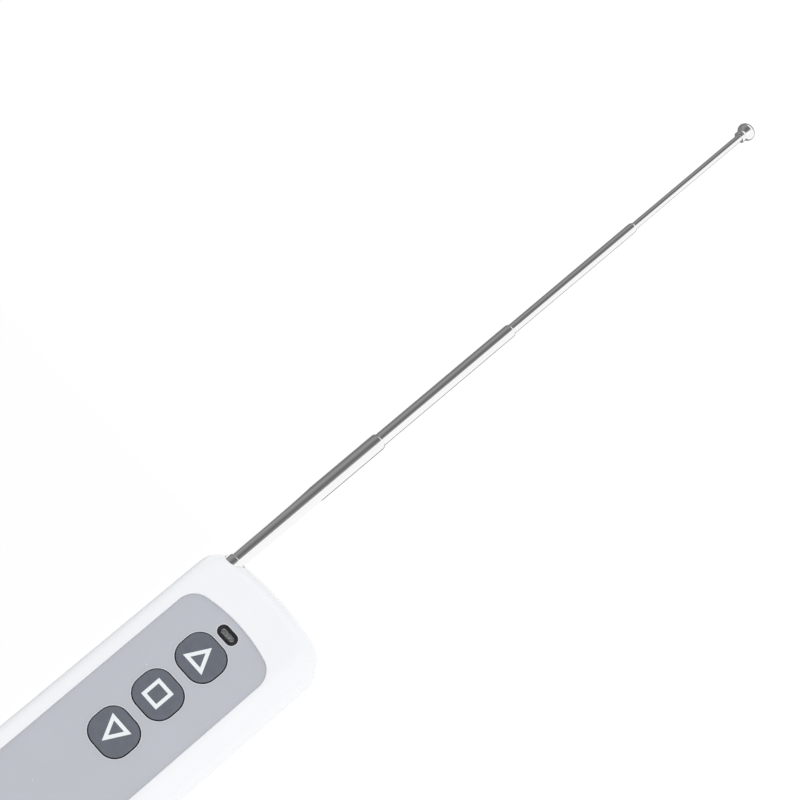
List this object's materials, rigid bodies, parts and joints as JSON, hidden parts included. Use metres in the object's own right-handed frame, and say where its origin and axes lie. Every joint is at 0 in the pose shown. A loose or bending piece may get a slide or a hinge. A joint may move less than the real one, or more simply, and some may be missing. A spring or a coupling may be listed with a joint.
{
  "type": "handheld radio remote control",
  "caption": "Slim white handheld radio remote with a grey face panel, raised keys for up, stop and down, a status light and a pull-out telescopic antenna.",
  "frame": {"origin": "middle of the flat back face of the housing, which the remote lies on", "axes": "+Z out of the keys, +Y along the housing towards the antenna's tip, +X to the right when looking at the keys with the antenna up"},
  "size_m": [0.0444, 0.3422, 0.024],
  "materials": {
    "housing_plastic": "satin moulded white ABS",
    "foam": "soft open-cell foam",
    "panel_plastic": "satin light grey sheet",
    "screw_steel": "zinc-plated steel",
    "bezel_plastic": "gloss black",
    "led_epoxy": "smoked clear epoxy",
    "key_plastic": "satin slate grey",
    "symbol_plastic": "white inlay",
    "switch_plastic": "black switch plastic",
    "antenna_chrome": "polished chrome plate on brass",
    "brass": "bare machined brass",
    "tinned_metal": "tinned or nickel-plated sheet",
    "board": "green solder mask",
    "chip_epoxy": "moulded black epoxy",
    "ceramic": "fired ceramic",
    "capacitor_sleeve": "shrink sleeve",
    "copper_wire": "enamelled copper",
    "battery_jacket": "printed metal jacket",
    "snap_plastic": "black vinyl",
    "red_insulation": "red vinyl",
    "black_insulation": "black vinyl"
  },
  "bodies": {
    "housing": {"front_cover": "housing_plastic", "rear_cover": "housing_plastic", "face_panel": "panel_plastic", "case_screws": "screw_steel", "led_bezel": "bezel_plastic", "status_led": "led_epoxy", "led_leads": "tinned_metal", "up_switch": "switch_plastic", "stop_switch": "switch_plastic", "down_switch": "switch_plastic", "antenna_base_tube": "antenna_chrome", "antenna_foot": "brass", "antenna_screw": "screw_steel", "antenna_tab": "tinned_metal", "circuit_board": "board", "encoder_chip": "chip_epoxy", "rf_transistor": "chip_epoxy", "saw_resonator": "tinned_metal", "loading_coil": "copper_wire", "electrolytic_capacitor": "capacitor_sleeve", "chip_resistors": "chip_epoxy", "chip_capacitors": "ceramic", "battery": "battery_jacket", "battery_terminals": "tinned_metal", "battery_snap": "snap_plastic", "snap_contacts": "tinned_metal", "red_lead": "red_insulation", "black_lead": "black_insulation"},
    "battery_lid": {"battery_door": "housing_plastic", "door_foam": "foam"},
    "up_button": {"up_key": "key_plastic", "up_symbol": "symbol_plastic", "up_plunger": "switch_plastic"},
    "stop_button": {"stop_key": "key_plastic", "stop_symbol": "symbol_plastic", "stop_plunger": "switch_plastic"},
    "down_button": {"down_key": "key_plastic", "down_symbol": "symbol_plastic", "down_plunger": "switch_plastic"},
    "section_1": {"antenna_tube_1": "antenna_chrome", "tube_1_bush": "brass"},
    "section_2": {"antenna_tube_2": "antenna_chrome", "tube_2_bush": "brass"},
    "section_3": {"antenna_tube_3": "antenna_chrome", "tube_3_bush": "brass"},
    "section_4": {"antenna_rod": "antenna_chrome", "rod_bush": "brass", "antenna_tip": "antenna_chrome"}
  },
  "joints": [
    {"name": "up_press", "type": "slide", "parent": "housing", "child": "up_button", "axis": [0, 0, 1], "range_m": [-0.0005, 0], "stiffness_N_per_m": 3000},
    {"name": "stop_press", "type": "slide", "parent": "housing", "child": "stop_button", "axis": [0, 0, 1], "range_m": [-0.0005, 0], "stiffness_N_per_m": 3000},
    {"name": "down_press", "type": "slide", "parent": "housing", "child": "down_button", "axis": [0, 0, 1], "range_m": [-0.0005, 0], "stiffness_N_per_m": 3000},
    {"name": "section_1_slide", "type": "slide", "parent": "housing", "child": "section_1", "axis": [0, 1, 0], "range_m": [-0.052, 0]},
    {"name": "section_2_slide", "type": "slide", "parent": "section_1", "child": "section_2", "axis": [0, 1, 0], "range_m": [-0.0509, 0]},
    {"name": "section_3_slide", "type": "slide", "parent": "section_2", "child": "section_3", "axis": [0, 1, 0], "range_m": [-0.0498, 0]},
    {"name": "section_4_slide", "type": "slide", "parent": "section_3", "child": "section_4", "axis": [0, 1, 0], "range_m": [-0.0449, 0]},
    {"name": "door_slide", "type": "slide", "parent": "housing", "child": "battery_lid", "axis": [0, -1, 0], "range_m": [0, 0.056]}
  ]
}
